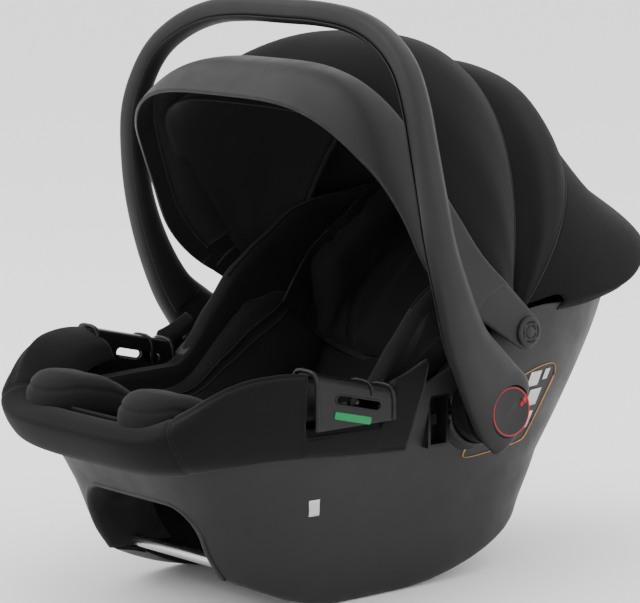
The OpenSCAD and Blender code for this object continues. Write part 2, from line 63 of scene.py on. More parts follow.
def make_camera():
    data = bpy.data.cameras.new("camera")
    data.lens, data.sensor_width = 174.375, 36
    data.clip_start, data.clip_end = 0.1, 60
    cam = bpy.data.objects.new("camera", data)
    scene.collection.objects.link(cam)
    back = Vector((math.sin(CAM_TURN) * math.cos(CAM_TILT),
                   -math.cos(CAM_TURN) * math.cos(CAM_TILT), math.sin(CAM_TILT)))
    right = Vector((math.cos(CAM_TURN), math.sin(CAM_TURN), 0))
    up = back.cross(right)
    turn = Matrix((right, up, back)).transposed().to_4x4()
    cam.matrix_world = Matrix.Translation(CAM_PLACE) @ turn
    scene.camera = cam


def area_light(name, place, target, size, power):
    data = bpy.data.lights.new(name, "AREA")
    data.shape, data.size, data.size_y, data.energy = "RECTANGLE", size[0], size[1], power
    ob = bpy.data.objects.new(name, data)
    scene.collection.objects.link(ob)
    ob.location = place
    ob.rotation_euler = (Vector(target) - Vector(place)).to_track_quat("-Z", "Y").to_euler()


make_camera()
world = bpy.data.worlds.new("studio")
scene.world = world
world.use_nodes = True
world.node_tree.nodes["Background"].inputs["Color"].default_value = (1, 1, 1, 1)
world.node_tree.nodes["Background"].inputs["Strength"].default_value = 1.8
area_light("key", (-1.6, -1.9, 2.6), (0, 0, 0.25), (1.8, 1.8), 40)
area_light("top", (0.2, 0.4, 2.8), (0, 0, 0.3), (2.2, 2.2), 20)
area_light("side", (2.6, 0.9, 1.2), (0, 0, 0.2), (1.4, 1.6), 14)

# ---------------------------------------------------------------- materials


def shader(name):
    m = bpy.data.materials.new(name)
    m.use_nodes = True
    nt = m.node_tree
    return m, nt, nt.nodes["Principled BSDF"]


def add(nt, kind, **settings):
    n = nt.nodes.new(kind)
    for k, v in settings.items():
        if k in n.inputs:
            n.inputs[k].default_value = v
        else:
            setattr(n, k, v)
    return n


def noise(nt, coord, scale, detail=3.0):
    n = add(nt, "ShaderNodeTexNoise", Scale=scale, Detail=detail, Roughness=0.55)
    nt.links.new(coord, n.inputs["Vector"])
    return n.outputs["Fac"]


def ramp(nt, value, lo, hi, a, b):
    n = add(nt, "ShaderNodeMapRange")
    for k, v in (("From Min", lo), ("From Max", hi), ("To Min", a), ("To Max", b)):
        n.inputs[k].default_value = v
    nt.links.new(value, n.inputs["Value"])
    return n.outputs["Result"]


def blend_colour(nt, value, a, b):
    n = add(nt, "ShaderNodeMix", data_type="RGBA")
    n.inputs["A"].default_value = (*a, 1)
    n.inputs["B"].default_value = (*b, 1)
    nt.links.new(value, n.inputs["Factor"])
    return n.outputs["Result"]


def bump(nt, heights, bsdf):
    """Chains bumps: heights is a list of (height socket, distance in metres, strength)."""
    last = None
    for h, distance, strength in heights:
        n = add(nt, "ShaderNodeBump", Distance=distance, Strength=strength)
        nt.links.new(h, n.inputs["Height"])
        if last:
            nt.links.new(last, n.inputs["Normal"])
        last = n.outputs["Normal"]
    nt.links.new(last, bsdf.inputs["Normal"])


def math_node(nt, op, a, b):
    n = add(nt, "ShaderNodeMath", operation=op)
    for i, v in enumerate((a, b)):
        if isinstance(v, (int, float)):
            n.inputs[i].default_value = v
        else:
            nt.links.new(v, n.inputs[i])
    return n.outputs["Value"]


def plastic(name, colour, rough, grain=0.35):
    """Moulded plastic: fine spark-eroded grain, slow tone changes, edges rubbed a little paler."""
    m, nt, b = shader(name)
    co = add(nt, "ShaderNodeTexCoord").outputs["Object"]
    fine, slow = noise(nt, co, 1500, 2.0), noise(nt, co, 9, 3.0)
    tone = blend_colour(nt, ramp(nt, slow, 0.3, 0.7, 0, 1),
                        [c * 0.92 for c in colour], [c * 1.08 for c in colour])
    worn = ramp(nt, add(nt, "ShaderNodeNewGeometry").outputs["Pointiness"], 0.52, 0.6, 0, 0.5)
    edge = add(nt, "ShaderNodeMix", data_type="RGBA")
    edge.inputs["B"].default_value = (*[c * 1.7 + 0.01 for c in colour], 1)
    nt.links.new(tone, edge.inputs["A"])
    nt.links.new(math_node(nt, "MULTIPLY", worn, ramp(nt, noise(nt, co, 90), 0.4, 0.65, 0, 1)),
                 edge.inputs["Factor"])
    nt.links.new(edge.outputs["Result"], b.inputs["Base Color"])
    nt.links.new(ramp(nt, noise(nt, co, 40, 4.0), 0.3, 0.7, rough - 0.05, rough + 0.06),
                 b.inputs["Roughness"])
    b.inputs["Specular IOR Level"].default_value = 0.2
    bump(nt, [(fine, 0.0001, grain), (noise(nt, co, 350, 2.0), 0.0001, grain * 0.4)], b)
    return m


def knit(name, colour, pitch=0.0012, sheen=0.25, depth=0.35):
    """Fine knitted or woven cloth: crossing rows of stitches, mottled a little, with a soft sheen."""
    m, nt, b = shader(name)
    co = add(nt, "ShaderNodeTexCoord").outputs["Object"]
    rows = []
    for turn in ((0.3, 0.5, 0.78), (-0.62, 0.35, -0.79)):
        mp = add(nt, "ShaderNodeMapping")
        mp.inputs["Rotation"].default_value = turn
        nt.links.new(co, mp.inputs["Vector"])
        w = add(nt, "ShaderNodeTexWave", Scale=0.314 / pitch, Distortion=1.2)
        w.inputs["Detail"].default_value = 1.0
        w.inputs["Detail Scale"].default_value = 2.0
        nt.links.new(mp.outputs["Vector"], w.inputs["Vector"])
        rows.append(w.outputs["Fac"])
    weave = math_node(nt, "MULTIPLY", rows[0], rows[1])
    fuzz, slow = noise(nt, co, 700, 3.0), noise(nt, co, 22, 4.0)
    mix = math_node(nt, "ADD", math_node(nt, "MULTIPLY", weave, 0.45),
                    math_node(nt, "MULTIPLY", math_node(nt, "ADD", fuzz, slow), 0.35))
    tone = blend_colour(nt, ramp(nt, mix, 0.2, 0.75, 0, 1),
                        [c * 0.84 for c in colour], [c * 1.18 for c in colour])
    nt.links.new(tone, b.inputs["Base Color"])
    nt.links.new(ramp(nt, fuzz, 0.3, 0.7, 0.86, 0.98), b.inputs["Roughness"])
    b.inputs["Specular IOR Level"].default_value = 0.08
    b.inputs["Sheen Weight"].default_value = sheen
    b.inputs["Sheen Roughness"].default_value = 0.45
    b.inputs["Sheen Tint"].default_value = (0.6, 0.6, 0.62, 1)
    bump(nt, [(weave, 0.0002, depth), (noise(nt, co, 45, 4.0), 0.0012, 0.22)], b)
    return m


def metal(name, colour, rough):
    m, nt, b = shader(name)
    co = add(nt, "ShaderNodeTexCoord").outputs["Object"]
    mp = add(nt, "ShaderNodeMapping")
    mp.inputs["Scale"].default_value = (8, 900, 900)
    nt.links.new(co, mp.inputs["Vector"])
    lines = noise(nt, mp.outputs["Vector"], 1.0, 2.0)
    b.inputs["Metallic"].default_value = 1.0
    tone = blend_colour(nt, noise(nt, co, 70), [c * 0.85 for c in colour], colour)
    nt.links.new(tone, b.inputs["Base Color"])
    nt.links.new(ramp(nt, lines, 0.3, 0.7, rough - 0.06, rough + 0.08), b.inputs["Roughness"])
    bump(nt, [(lines, 0.0001, 0.2)], b)
    return m


def beads(name, colour):
    """Expanded foam: packed beads with dark joints."""
    m, nt, b = shader(name)
    co = add(nt, "ShaderNodeTexCoord").outputs["Object"]
    v = add(nt, "ShaderNodeTexVoronoi", Scale=320.0, feature="DISTANCE_TO_EDGE")
    nt.links.new(co, v.inputs["Vector"])
    tone = blend_colour(nt, ramp(nt, v.outputs["Distance"], 0, 0.12, 0, 1),
                        [c * 0.6 for c in colour], colour)
    nt.links.new(tone, b.inputs["Base Color"])
    b.inputs["Roughness"].default_value = 0.8
    bump(nt, [(v.outputs["Distance"], 0.0006, 0.5)], b)
    return m


SHELL = plastic("shell_plastic", (0.0135, 0.0135, 0.0138), 0.5)
SEAT_PLASTIC = plastic("seat_plastic", (0.008, 0.008, 0.0083), 0.55)
BLACK = plastic("black_plastic", (0.006, 0.006, 0.0063), 0.32, grain=0.12)
BUTTON = plastic("button_plastic", (0.0135, 0.0135, 0.0138), 0.42)
CLOTH = knit("cover_knit", (0.0058, 0.0058, 0.0061), sheen=0.1)
INNER = knit("insert_knit", (0.0098, 0.0098, 0.0102), sheen=0.1)
CANOPY = knit("canopy_weave", (0.0045, 0.0045, 0.0048), pitch=0.0011, sheen=0.07)
# hood lining and bow sleeves: real cloth, but made much paler than the canopy cloth as painted light for
# the shaded inside of the hood
LINING_PAINTED_LIGHT = knit("lining_weave_painted_light", (0.017, 0.017, 0.0174), pitch=0.0011, sheen=0.14)
PIPING = knit("piping_weave", (0.011, 0.011, 0.0114), pitch=0.0008, sheen=0.15)
THREAD = knit("thread", (0.011, 0.011, 0.0115), pitch=0.0006)
WEBBING = knit("webbing_weave", (0.01, 0.01, 0.0105), pitch=0.0013, depth=0.8)
STEEL = metal("bright_steel", (0.62, 0.62, 0.63), 0.28)
FOAM = beads("bead_foam", (0.02, 0.02, 0.021))
GREEN = plastic("green_plastic", (0.004, 0.15, 0.045), 0.4)
RED = plastic("red_print", (0.33, 0.01, 0.015), 0.4, grain=0.1)
AMBER = plastic("amber_print", (0.4, 0.2, 0.08), 0.45, grain=0.1)
WHITE = plastic("white_film", (0.42, 0.42, 0.41), 0.4, grain=0.1)
GEAR = plastic("gear_plastic", (0.55, 0.55, 0.53), 0.45)
FLOOR, _, paper = shader("floor_paper")
paper.inputs["Base Color"].default_value = (0.93, 0.93, 0.93, 1)
paper.inputs["Roughness"].default_value = 0.9
paper.inputs["Specular IOR Level"].default_value = 0.0
SLOT_LOOK = {"shell_plastic": SHELL, "seat_plastic": SEAT_PLASTIC, "black_plastic": BLACK,
             "foam": FOAM, "cover_fabric": CLOTH, "canopy_fabric": CANOPY, "webbing": WEBBING,
             "steel": STEEL, "green_plastic": GREEN, "red_plastic": RED, "gear_plastic": GEAR,
             "label_film": WHITE}

# ---------------------------------------------------------------- curves and meshes (in mm)


def spline(points):
    """Smooth curve through (x, value...) points, as a function of x."""
    x = np.array([p[0] for p in points], float)
    y = np.array([p[1:] for p in points], float)
    d = np.gradient(y, x, axis=0)

    def at(v):
        v = np.clip(np.asarray(v, float), x[0], x[-1])
        i = np.clip(np.searchsorted(x, v, side="right") - 1, 0, len(x) - 2)
        h = (x[i + 1] - x[i])[..., None]
        t = ((v - x[i])[..., None]) / h
        out = ((2 * t**3 - 3 * t**2 + 1) * y[i] + (t**3 - 2 * t**2 + t) * h * d[i]
               + (3 * t**2 - 2 * t**3) * y[i + 1] + (t**3 - t**2) * h * d[i + 1])
        return out[..., 0] if out.shape[-1] == 1 else out
    return at


def line(points):
    x, y = zip(*points)
    return lambda v: np.interp(v, x, y)


def step(a, b, v):
    t = np.clip((np.asarray(v, float) - a) / (b - a), 0, 1)
    return t * t * (3 - 2 * t)


def spow(v, p):
    return np.sign(v) * np.abs(v) ** p


def mix(a, b, t):
    return a + (b - a) * t


def cosd(a):
    return np.cos(np.radians(a))


def sind(a):
    return np.sin(np.radians(a))


def points3(x, y, z):
    return np.stack(np.broadcast_arrays(x, y, z), -1).astype(float)


def new_object(name, verts, faces, material, smooth=True):
    me = bpy.data.meshes.new(name)
    me.from_pydata((np.asarray(verts, float).reshape(-1, 3) * MM).tolist(), [],
                   [tuple(int(i) for i in f) for f in faces])
    me.validate()
    me.polygons.foreach_set("use_smooth", [smooth] * len(me.polygons))
    ob = bpy.data.objects.new(name, me)
    scene.collection.objects.link(ob)
    if material:
        me.materials.append(material)
    return ob


def grid_faces(nu, nv, wrap_u=False, wrap_v=False):
    i, j = np.meshgrid(np.arange(nu if wrap_u else nu - 1), np.arange(nv if wrap_v else nv - 1),
                       indexing="ij")
    a, b = i * nv + j, i * nv + (j + 1) % nv
    c, d = ((i + 1) % nu) * nv + (j + 1) % nv, ((i + 1) % nu) * nv + j
    return np.stack([a, b, c, d], -1).reshape(-1, 4)


def grid(name, p, material, wrap_u=False, wrap_v=False, caps=False):
    """Mesh over a grid of points p[u][v]; caps closes the two ends of a tube that wraps in v."""
    p = np.asarray(p, float)
    nu, nv = p.shape[:2]
    faces = [tuple(f) for f in grid_faces(nu, nv, wrap_u, wrap_v)]
    if caps:
        faces += [tuple(range(nv)), tuple((nu - 1) * nv + j for j in range(nv))]
    ob = new_object(name, p, faces, material)
    outward(ob)
    return ob


def outward(ob):
    bm = bmesh.new()
    bm.from_mesh(ob.data)
    bmesh.ops.recalc_face_normals(bm, faces=bm.faces)
    bm.to_mesh(ob.data)
    bm.free()


def bake(ob):
    """Applies the modifiers."""
    dg = bpy.context.evaluated_depsgraph_get()
    me = bpy.data.meshes.new_from_object(ob.evaluated_get(dg))
    ob.modifiers.clear()
    ob.data = me
    me.polygons.foreach_set("use_smooth", [True] * len(me.polygons))
    return ob


def modify(ob, kind, **settings):
    m = ob.modifiers.new(kind.lower(), kind)
    for k, v in settings.items():
        setattr(m, k, v)
    return bake(ob)


def thicken(ob, t, offset=-1.0, even=True):
    return modify(ob, "SOLIDIFY", thickness=t * MM, offset=offset, use_even_offset=even)


def soften(ob, width, segments):
    return modify(ob, "BEVEL", width=width * MM, segments=segments, limit_method="ANGLE",
                  angle_limit=math.radians(35), harden_normals=False)


def cut(ob, *cutters):
    for c in cutters:
        m = ob.modifiers.new("cut", "BOOLEAN")
        m.object, m.operation, m.solver = c, "DIFFERENCE", "EXACT"
        bake(ob)
        bpy.data.objects.remove(c)
    return ob


def prism(name, outline, axis, lo, hi, material=None):
    """Closed outline swept along axis (0 x, 1 y, 2 z) from lo to hi."""
    rest = [k for k in range(3) if k != axis]
    p = np.zeros((2, len(outline), 3))
    p[:, :, rest] = np.asarray(outline, float)
    p[0, :, axis], p[1, :, axis] = lo, hi
    ob = grid(name, p, material, wrap_v=True, caps=True)
    for poly in ob.data.polygons:
        poly.use_smooth = False
    return ob


def rounded(w, h, r, n=6, centre=(0, 0), turn=0):
    """Outline of a rectangle with round corners."""
    out = []
    for k, (sx, sy) in enumerate(((1, 1), (-1, 1), (-1, -1), (1, -1))):
        for a in np.linspace(90 * k, 90 * k + 90, n):
            out.append((sx * (w / 2 - r) + r * cosd(a), sy * (h / 2 - r) + r * sind(a)))
    q = np.array(out)
    c, s = cosd(turn), sind(turn)
    return q @ np.array([[c, s], [-s, c]]) + np.array(centre)


def circle(r, n=64, centre=(0, 0)):
    a = np.linspace(0, 360, n, endpoint=False)
    return np.stack([r * cosd(a) + centre[0], r * sind(a) + centre[1]], -1)


def resample(path, n, closed=False):
    path = np.asarray(path, float)
    if closed:
        path = np.vstack([path, path[:1]])
    s = np.concatenate([[0], np.cumsum(np.linalg.norm(np.diff(path, axis=0), axis=1))])
    v = np.linspace(0, s[-1], n + 1)[:-1] if closed else np.linspace(0, s[-1], n)
    return np.stack([np.interp(v, s, path[:, k]) for k in range(3)], -1)


def tube(name, path, r, material, sides=8, closed=False, flat=1.0):
    """Round bead along a path."""
    p = np.asarray(path, float)
    t = (np.roll(p, -1, 0) - np.roll(p, 1, 0)) if closed else np.gradient(p, axis=0)
    t /= np.linalg.norm(t, axis=1)[:, None] + 1e-9
    n = np.cross(t, (0.2, 0.35, 0.9))
    n /= np.linalg.norm(n, axis=1)[:, None]
    b = np.cross(t, n)
    a = np.linspace(0, 360, sides, endpoint=False)
    rings = p[:, None] + r * (cosd(a)[None, :, None] * n[:, None]
                              + flat * sind(a)[None, :, None] * b[:, None])
    return grid(name, rings, material, wrap_u=closed, wrap_v=True, caps=not closed)


def snap(path, ob, lift=0.0):
    """Lays a path (mm) on the nearest surface of ob, lift mm above it."""
    out = []
    for p in np.asarray(path, float):
        hit, where, normal, _ = ob.closest_point_on_mesh(Vector(p * MM))
        out.append(np.array(where + normal * lift * MM) / MM if hit else p)
    return np.array(out)


def point_tree(points):
    """Search tree over points given in mm."""
    tree = KDTree(len(points))
    for i, p in enumerate(points):
        tree.insert(Vector(np.asarray(p) * MM), i)
    tree.balance()
    return tree


def groove(ob, path, width, depth):
    """Presses a sewn channel into ob along a path (mm)."""
    path = resample(path, max(8, int(np.linalg.norm(np.diff(path, axis=0), axis=1).sum() / 2)))
    tree = point_tree(path)
    for v in ob.data.vertices:
        d = tree.find(v.co)[2] / MM
        if d < width:
            v.co -= v.normal * depth * MM * (1 - (d / width) ** 2) ** 2
    ob.data.update()


STITCH_LENGTH, STITCH_PITCH, STITCH_R = 3.2, 5.0, 0.42


def stitches(name, path, material, body, slot):
    """A row of thread stitches along a path, as one mesh."""
    length, r = STITCH_LENGTH, STITCH_R
    total = np.linalg.norm(np.diff(path, axis=0), axis=1).sum()
    n = max(2, int(total / STITCH_PITCH))
    p = resample(path, n * 2 + 1)
    verts, faces = [], []
    for k in range(n):
        a, b = p[2 * k], p[2 * k + 1]
        t = (b - a) / (np.linalg.norm(b - a) + 1e-9)
        u = np.cross(t, (0.3, 0.2, 0.9))
        u /= np.linalg.norm(u)
        w = np.cross(t, u)
        mid = (a + b) / 2
        base = len(verts)
        verts.append(mid - t * length / 2)
        for s in (-0.25, 0.25):
            verts += [mid + t * length * s + r * (math.cos(q) * u + math.sin(q) * w)
                      for q in np.arange(5) * 1.2566]
        verts.append(mid + t * length / 2)
        for j in range(5):
            q = (j + 1) % 5
            faces += [(base, base + 1 + q, base + 1 + j),
                      (base + 1 + j, base + 1 + q, base + 6 + q, base + 6 + j),
                      (base + 11, base + 6 + j, base + 6 + q)]
    ob = new_object(name, verts, faces, material)
    place(ob, body, slot)
    return ob


def place(ob, body, slot, *replaced):
    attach(ob, body)
    if replaced:
        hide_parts(*replaced)
    return ob


def piping(name, path, r, body="seat", slot="cover_fabric", **shape):
    """A round cord of piping sewn along a path."""
    place(tube(name, path, r, PIPING, **shape), body, slot)


def join(name, parts):
    """Joins pieces of one material into one object."""
    verts, faces = [], []
    for o in parts:
        base = len(verts)
        verts += [tuple(c / MM for c in v.co) for v in o.data.vertices]
        faces += [tuple(base + i for i in p.vertices) for p in o.data.polygons]
        material = o.data.materials[0] if o.data.materials else None
        bpy.data.objects.remove(o)
    return new_object(name, verts, faces, material)


PAD_VOXEL = 4.5
PAD_PRESSURE = 4.0
PUFF_FRAMES = 20


def inflate(ob, cap, pins, pin_width):
    """Puffs a pad with Blender's cloth: remesh, blow up, cap each point's move, apply, subdivide.

    Points within pin_width of pins stay put.
    """
    modify(ob, "REMESH", mode="VOXEL", voxel_size=PAD_VOXEL * MM, use_smooth_shade=True)
    rest = np.array([v.co for v in ob.data.vertices])
    tree = point_tree(pins)
    held = np.array([tree.find(Vector(c))[2] < pin_width * MM for c in rest])
    group = ob.vertex_groups.new(name="pin")
    group.add([int(i) for i in np.nonzero(held)[0]], 1.0, "REPLACE")
    m = ob.modifiers.new("cloth", "CLOTH")
    s = m.settings
    s.quality, s.mass = 5, 0.3
    s.tension_stiffness = s.compression_stiffness = s.shear_stiffness = 12
    s.bending_stiffness = 0.6
    s.use_pressure, s.uniform_pressure_force = True, PAD_PRESSURE
    s.effector_weights.gravity = 0
    s.vertex_group_mass = "pin"
    m.point_cache.frame_start, m.point_cache.frame_end = 1, PUFF_FRAMES
    for f in range(1, PUFF_FRAMES + 1):
        scene.frame_set(f)
    dg = bpy.context.evaluated_depsgraph_get()
    moved = np.array([v.co for v in ob.evaluated_get(dg).data.vertices])
    ob.modifiers.clear()
    scene.frame_set(1)
    shift = moved - rest
    far = np.linalg.norm(shift, axis=1)[:, None] + 1e-12
    shift *= np.minimum(1, cap * MM / far)
    ob.data.vertices.foreach_set("co", (rest + shift).ravel())
    ob.data.update()
    modify(ob, "SMOOTH", factor=0.5, iterations=2)
    return modify(ob, "SUBSURF", levels=1, render_levels=1)


# ---------------------------------------------------------------- the tub

TUB_FRONT = spline([(0, -213), (25, -221), (57, -241), (106, -259), (156, -290), (200, -315),
                    (235, -320)])
TUB_BACK = spline([(0, 148), (25, 150), (57, 160), (106, 190), (156, 220), (200, 245),
                   (268, 278)])
TUB_HALF = spline([(0, 110.4), (25, 121), (57, 131.7), (106, 147.7), (156, 162), (200, 172),
                   (235, 177.6), (270, 178)])
BACK_POWER = line([(40, 3.5), (110, 2.6)])
FRONT_POWER = line([(110, 4.5), (205, 3.4)])
RIM = spline([(-320, 172), (-300, 182), (-275, 205), (-240, 223), (-185, 220), (-145, 213),
              (-105, 205), (-60, 209), (-5, 236), (25, 255), (55, 264), (120, 265.5), (278, 266)])


def tub(z, t, d):
    z = np.asarray(z, float)
    front, back = TUB_FRONT(z), TUB_BACK(z)
    c, l = (front + back) / 2, (back - front) / 2
    q = 2 / np.where(sind(t) > 0, BACK_POWER(z), FRONT_POWER(z))
    return points3((TUB_HALF(z) + d) * spow(cosd(t), q), c + (l + d) * spow(sind(t), q), z)


def rocker(y):
    return np.maximum(-100 - y, 0) ** 2 / 350 + np.maximum(y + 36, 0) ** 2 / 560


def even_turns(n, z, lo=0.0, hi=360.0):
    """Turn angles that space n points evenly round the tub's outline at height z."""
    t = np.linspace(lo, hi, 6001)
    p = tub(z, t, 0)
    s = np.concatenate([[0], np.cumsum(np.linalg.norm(np.diff(p, axis=0), axis=1))])
    closed = hi - lo >= 360
    return np.interp(np.linspace(0, s[-1], n + 1)[:-1] if closed else np.linspace(0, s[-1], n),
                     s, t)


def build_shell():
    turns = even_turns(260, 120)
    low = rocker(tub(12, turns, 0)[:, 1])
    high = RIM(tub(205, turns, 0)[:, 1])
    rows = [(-24, low), (-14, low), (-6, low), (-3, low + 0.8), (-0.9, low + 2.9), (0, low + 6)]
    for s in np.linspace(0, 1, 34)[1:]:
        rows.append((0, mix(low + 6, high - 2, s)))
    rows += [(-0.6, high - 0.6), (-2, high), (-3.4, high - 0.6)]
    for s in np.linspace(0, 1, 14):
        rows.append((-4, mix(high - 2, low + 9, s)))
    rows += [(-5.2, low + 5.2), (-9, low + 4), (-24, low + 4)]
    p = np.stack([tub(z, turns, d) for d, z in rows], 1)
    ob = grid("tub_shell", p, SHELL, wrap_u=True, wrap_v=True)
    arch = [(84, -20), (84, -8)] + [(50 + 34 * cosd(a), 74 + 34 * sind(a)) for a in range(0, 91, 6)]
    arch = arch + [(-x, z) for x, z in reversed(arch)]
    cutters = [prism("arch", arch, 1, -345, -180)]
    for s in (-1, 1):
        cutters += [
            prism("bay", rounded(26, 50, 3, centre=(-33, 172)), 0, s * 140, s * 200),
            prism("notch", rounded(92, 80, 4, centre=(-142, 221.5)), 0, s * 120, s * 190),
            prism("dish", circle(34.6, centre=(15, 181)), 0, s * 166, s * 206)]
    cut(ob, *cutters)
    ob.data.polygons.foreach_set("use_smooth", [True] * len(ob.data.polygons))
    ob.data.set_sharp_from_angle(angle=math.radians(38))
    place(ob, "seat", "shell_plastic", "outer_shell")
    flange(arch)
    for s in (-1, 1):
        hub_boss(s)


def flange(arch):
    """Rolled lip round the arched opening, running back into the base."""
    edge = [(x, z) for x, z in arch if z > -10]
    edge = np.array([(84, 36), (84, 50)] + edge[1:-1] + [(-84, 50), (-84, 36)])
    p = resample(np.c_[edge, np.zeros(len(edge))], 90)[:, :2]
    t = np.gradient(p, axis=0)
    t /= np.linalg.norm(t, axis=1)[:, None]
    n = np.stack([t[:, 1], -t[:, 0]], -1)
    y = front_y(p[:, 0], p[:, 1])
    section = [(3.5, -0.2), (1.5, -1.2), (-1.2, -0.6), (-2.6, 1.8), (-3, 6), (-3, 70), (-1, 70),
               (-0.6, 5), (1, 2.2), (3.5, 1.4)]
    rings = np.stack([points3(p[:, 0] + n[:, 0] * o, y + d, p[:, 1] + n[:, 1] * o)
                      for o, d in section], 1)
    place(grid("arch_lip", rings, SHELL, wrap_v=True, caps=True), "seat", "shell_plastic")


def front_y(x, z):
    """The tub's front face at x and z."""
    front, back = TUB_FRONT(z), TUB_BACK(z)
    c, l = (front + back) / 2, (back - front) / 2
    n = FRONT_POWER(z)
    return c - l * (1 - np.minimum(np.abs(x) / TUB_HALF(z), 0.999) ** n) ** (1 / n)


def hub_boss(s):
    """Round housing that carries the handle's hub, blended into the tub's side."""
    a = np.linspace(0, 360, 72, endpoint=False)
    rows = [(150, 46), (158, 43.5), (163, 41), (167, 39.2), (170, 38.4), (171.2, 37), (171.2, 35.2),
            (167, 35), (160, 35)]
    p = np.stack([points3(s * x, 15 + r * cosd(a), 181 + r * sind(a)) for x, r in rows], 1)
    ob = grid("hub_housing_%s" % ("right" if s > 0 else "left"), p, SHELL, wrap_u=True)
    thicken(ob, 1.2)
    cut(ob, prism("bay", rounded(26, 50, 3, centre=(-33, 172)), 0, s * 140, s * 200))
    place(ob, "seat", "shell_plastic")


build_shell()

# ---------------------------------------------------------------- handle

PATH = spline([(0, 203, 18, 153, 36, 16), (1, 203, 15, 181, 72, 25), (2, 205, -4, 206, 66, 26),
               (3, 211, -26, 231, 54, 26), (4, 216, -46, 257, 42, 25), (5, 220, -65, 298, 32, 24),
               (6, 220, -80, 343, 26, 23), (7, 218, -88, 385, 24, 22), (8, 212, -93, 430, 23, 21),
               (9, 200, -91, 466, 22, 21), (10, 180, -86, 497, 22, 20),
               (11, 148, -80, 520, 22, 20), (12, 105, -76, 535, 22, 20),
               (13, 55, -75, 540.5, 22, 20), (14, 0, -75, 541, 22, 20)])
LEAN = spline([(181, -38), (206, -40), (231, -38), (257, -30), (298, -21), (343, -13),
               (385, -8), (430, 0), (466, 7), (500, 12)])


def handle_ring(u, a, swell=0.0, scale=1.0, drop=0.0):
    """Section of the handle at path place u; a is degrees round from the inner face."""
    p, q, o = PATH(u), PATH(min(u + 0.05, 14)), PATH(max(u - 0.05, 0))
    t = q[:3] - o[:3]
    if u > 13.9:
        t = np.array([-1.0, 0, 0])
    t /= np.linalg.norm(t)
    g = LEAN(p[2])
    b = np.array([0, -cosd(g), sind(g)])
    n = np.cross(b, t)
    n /= np.linalg.norm(n)
    crest = 0.9 * np.exp(-((a - 236) / 7.0) ** 2) * float(step(1.2, 3, u))
    out = (p[4] / 2 + swell + crest) * scale * spow(cosd(a), 0.75)
    side = (p[3] / 2 + crest) * scale * spow(sind(a), 0.75)
    return p[:3] - t * drop + out[:, None] * n + side[:, None] * b


def mirror_rings(rings):
    rings = np.array(rings)
    other = rings[:-1][::-1].copy()
    other[:, :, 0] *= -1
    return np.concatenate([rings, other])


def build_handle():
    a = np.linspace(0, 360, 64, endpoint=False)
    us = np.concatenate([np.linspace(0, 5, 46), np.linspace(5, 14, 76)[1:]])
    rings = [handle_ring(0, a, scale=0.55, drop=4.6), handle_ring(0, a, scale=0.82, drop=3),
             handle_ring(0, a, scale=0.95, drop=1.4)] + [handle_ring(u, a) for u in us]
    ob = grid("handle_bar", mirror_rings(rings), SHELL, wrap_v=True, caps=True)
    cut(ob, *[prism("hole", circle(24.9, 80, (15, 181)), 0, s * 200.2, s * 226)
              for s in (-1, 1)])
    ob.data.set_sharp_from_angle(angle=math.radians(40))
    place(ob, "handle", "shell_plastic", "handle_arch", "handle_hub_left", "handle_hub_right")
    arc = np.linspace(-46, 46, 15)
    strip = [handle_ring(u, arc, swell=1.5) for u in np.linspace(3.3, 14, 90)]
    ob = grid("handle_grip_cover", mirror_rings(strip), SEAT_PLASTIC)
    thicken(ob, 1.4)
    place(ob, "handle", "black_plastic", "handle_inner_cover")
    for s, side in ((-1, "left"), (1, "right")):
        build_button(s, side)


def build_button(s, side):
    """Round push button, a little dished, with a plain printed ring and arrow."""
    r = [0.01, 8, 14, 18, 21, 22.6, 23.6, 24.2, 24.3, 24.3]
    x = [213.2, 213.2, 213.4, 213.7, 214, 214, 213.5, 212.6, 211, 207.6]
    a = np.linspace(0, 360, 80, endpoint=False)
    p = np.stack([points3(s * xx, 15 + rr * cosd(a), 181 + rr * sind(a)) for xx, rr in zip(x, r)], 1)
    place(grid("hub_button_" + side, p, BUTTON, wrap_u=True), "button_" + side, "shell_plastic",
          "handle_button_" + side)
    dish = spline(list(zip(r[:6], x[:6])))
    band = [21.6, 22.1, 22.7]
    p = np.stack([points3(s * (dish(rr) + 0.12), 15 + rr * cosd(a), 181 + rr * sind(a))
                  for rr in band], 1)
    ring = grid("ring", p, RED, wrap_u=True)
    tip = [(13, 9), (19, 14), (18.5, 5.5), (16.6, 7.2), (13.4, 3.2), (10.6, 5.4), (13.8, 9.4),
           (12, 11)]
    q = np.array([(15 + y, 181 + z) for y, z in tip])
    arrow = prism("arrow", q, 0, s * 213.0, s * 214.05, RED)
    place(join("button_print_" + side, [ring, arrow]), "button_" + side, "red_plastic")


build_handle()

# ---------------------------------------------------------------- canopy

PIVOT = (56.0, 248.0)
VISOR_FRONT = spline([(40, -76), (88, -70), (139, -61.5), (183, -52.5), (219, -48.5),
                      (257, -46.5), (303, -44)])
VISOR_REAR = spline([(40, -24), (69, -33), (142, -36), (173, -35), (223, -32), (285, -29.5)])
MID_BOW, REAR_BOW = np.array([158.5, 240, 2, 13.6]), np.array([164.5, 232, 2, 46])
FRONT_HOOP = np.array([183.5, 272, 3.4, -36.5])


def hoop(a, r, n, g, f):
    w = np.maximum(sind(f), 0) ** (2 / n)
    return points3(a * spow(cosd(f), 2 / n), PIVOT[0] + r * w * sind(g), PIVOT[1] + r * w * cosd(g))


def visor_point(f, w, off):
    n = mix(3.9, 3.4, w)
    r = mix(303, 284, w) + 8 * sind(180 * w) * sind(f)
    now = r * np.maximum(sind(f), 0) ** (2 / n)
    g = mix(VISOR_FRONT(now), VISOR_REAR(now), w)
    return hoop(190.5 + off, r + off, n, g, f)


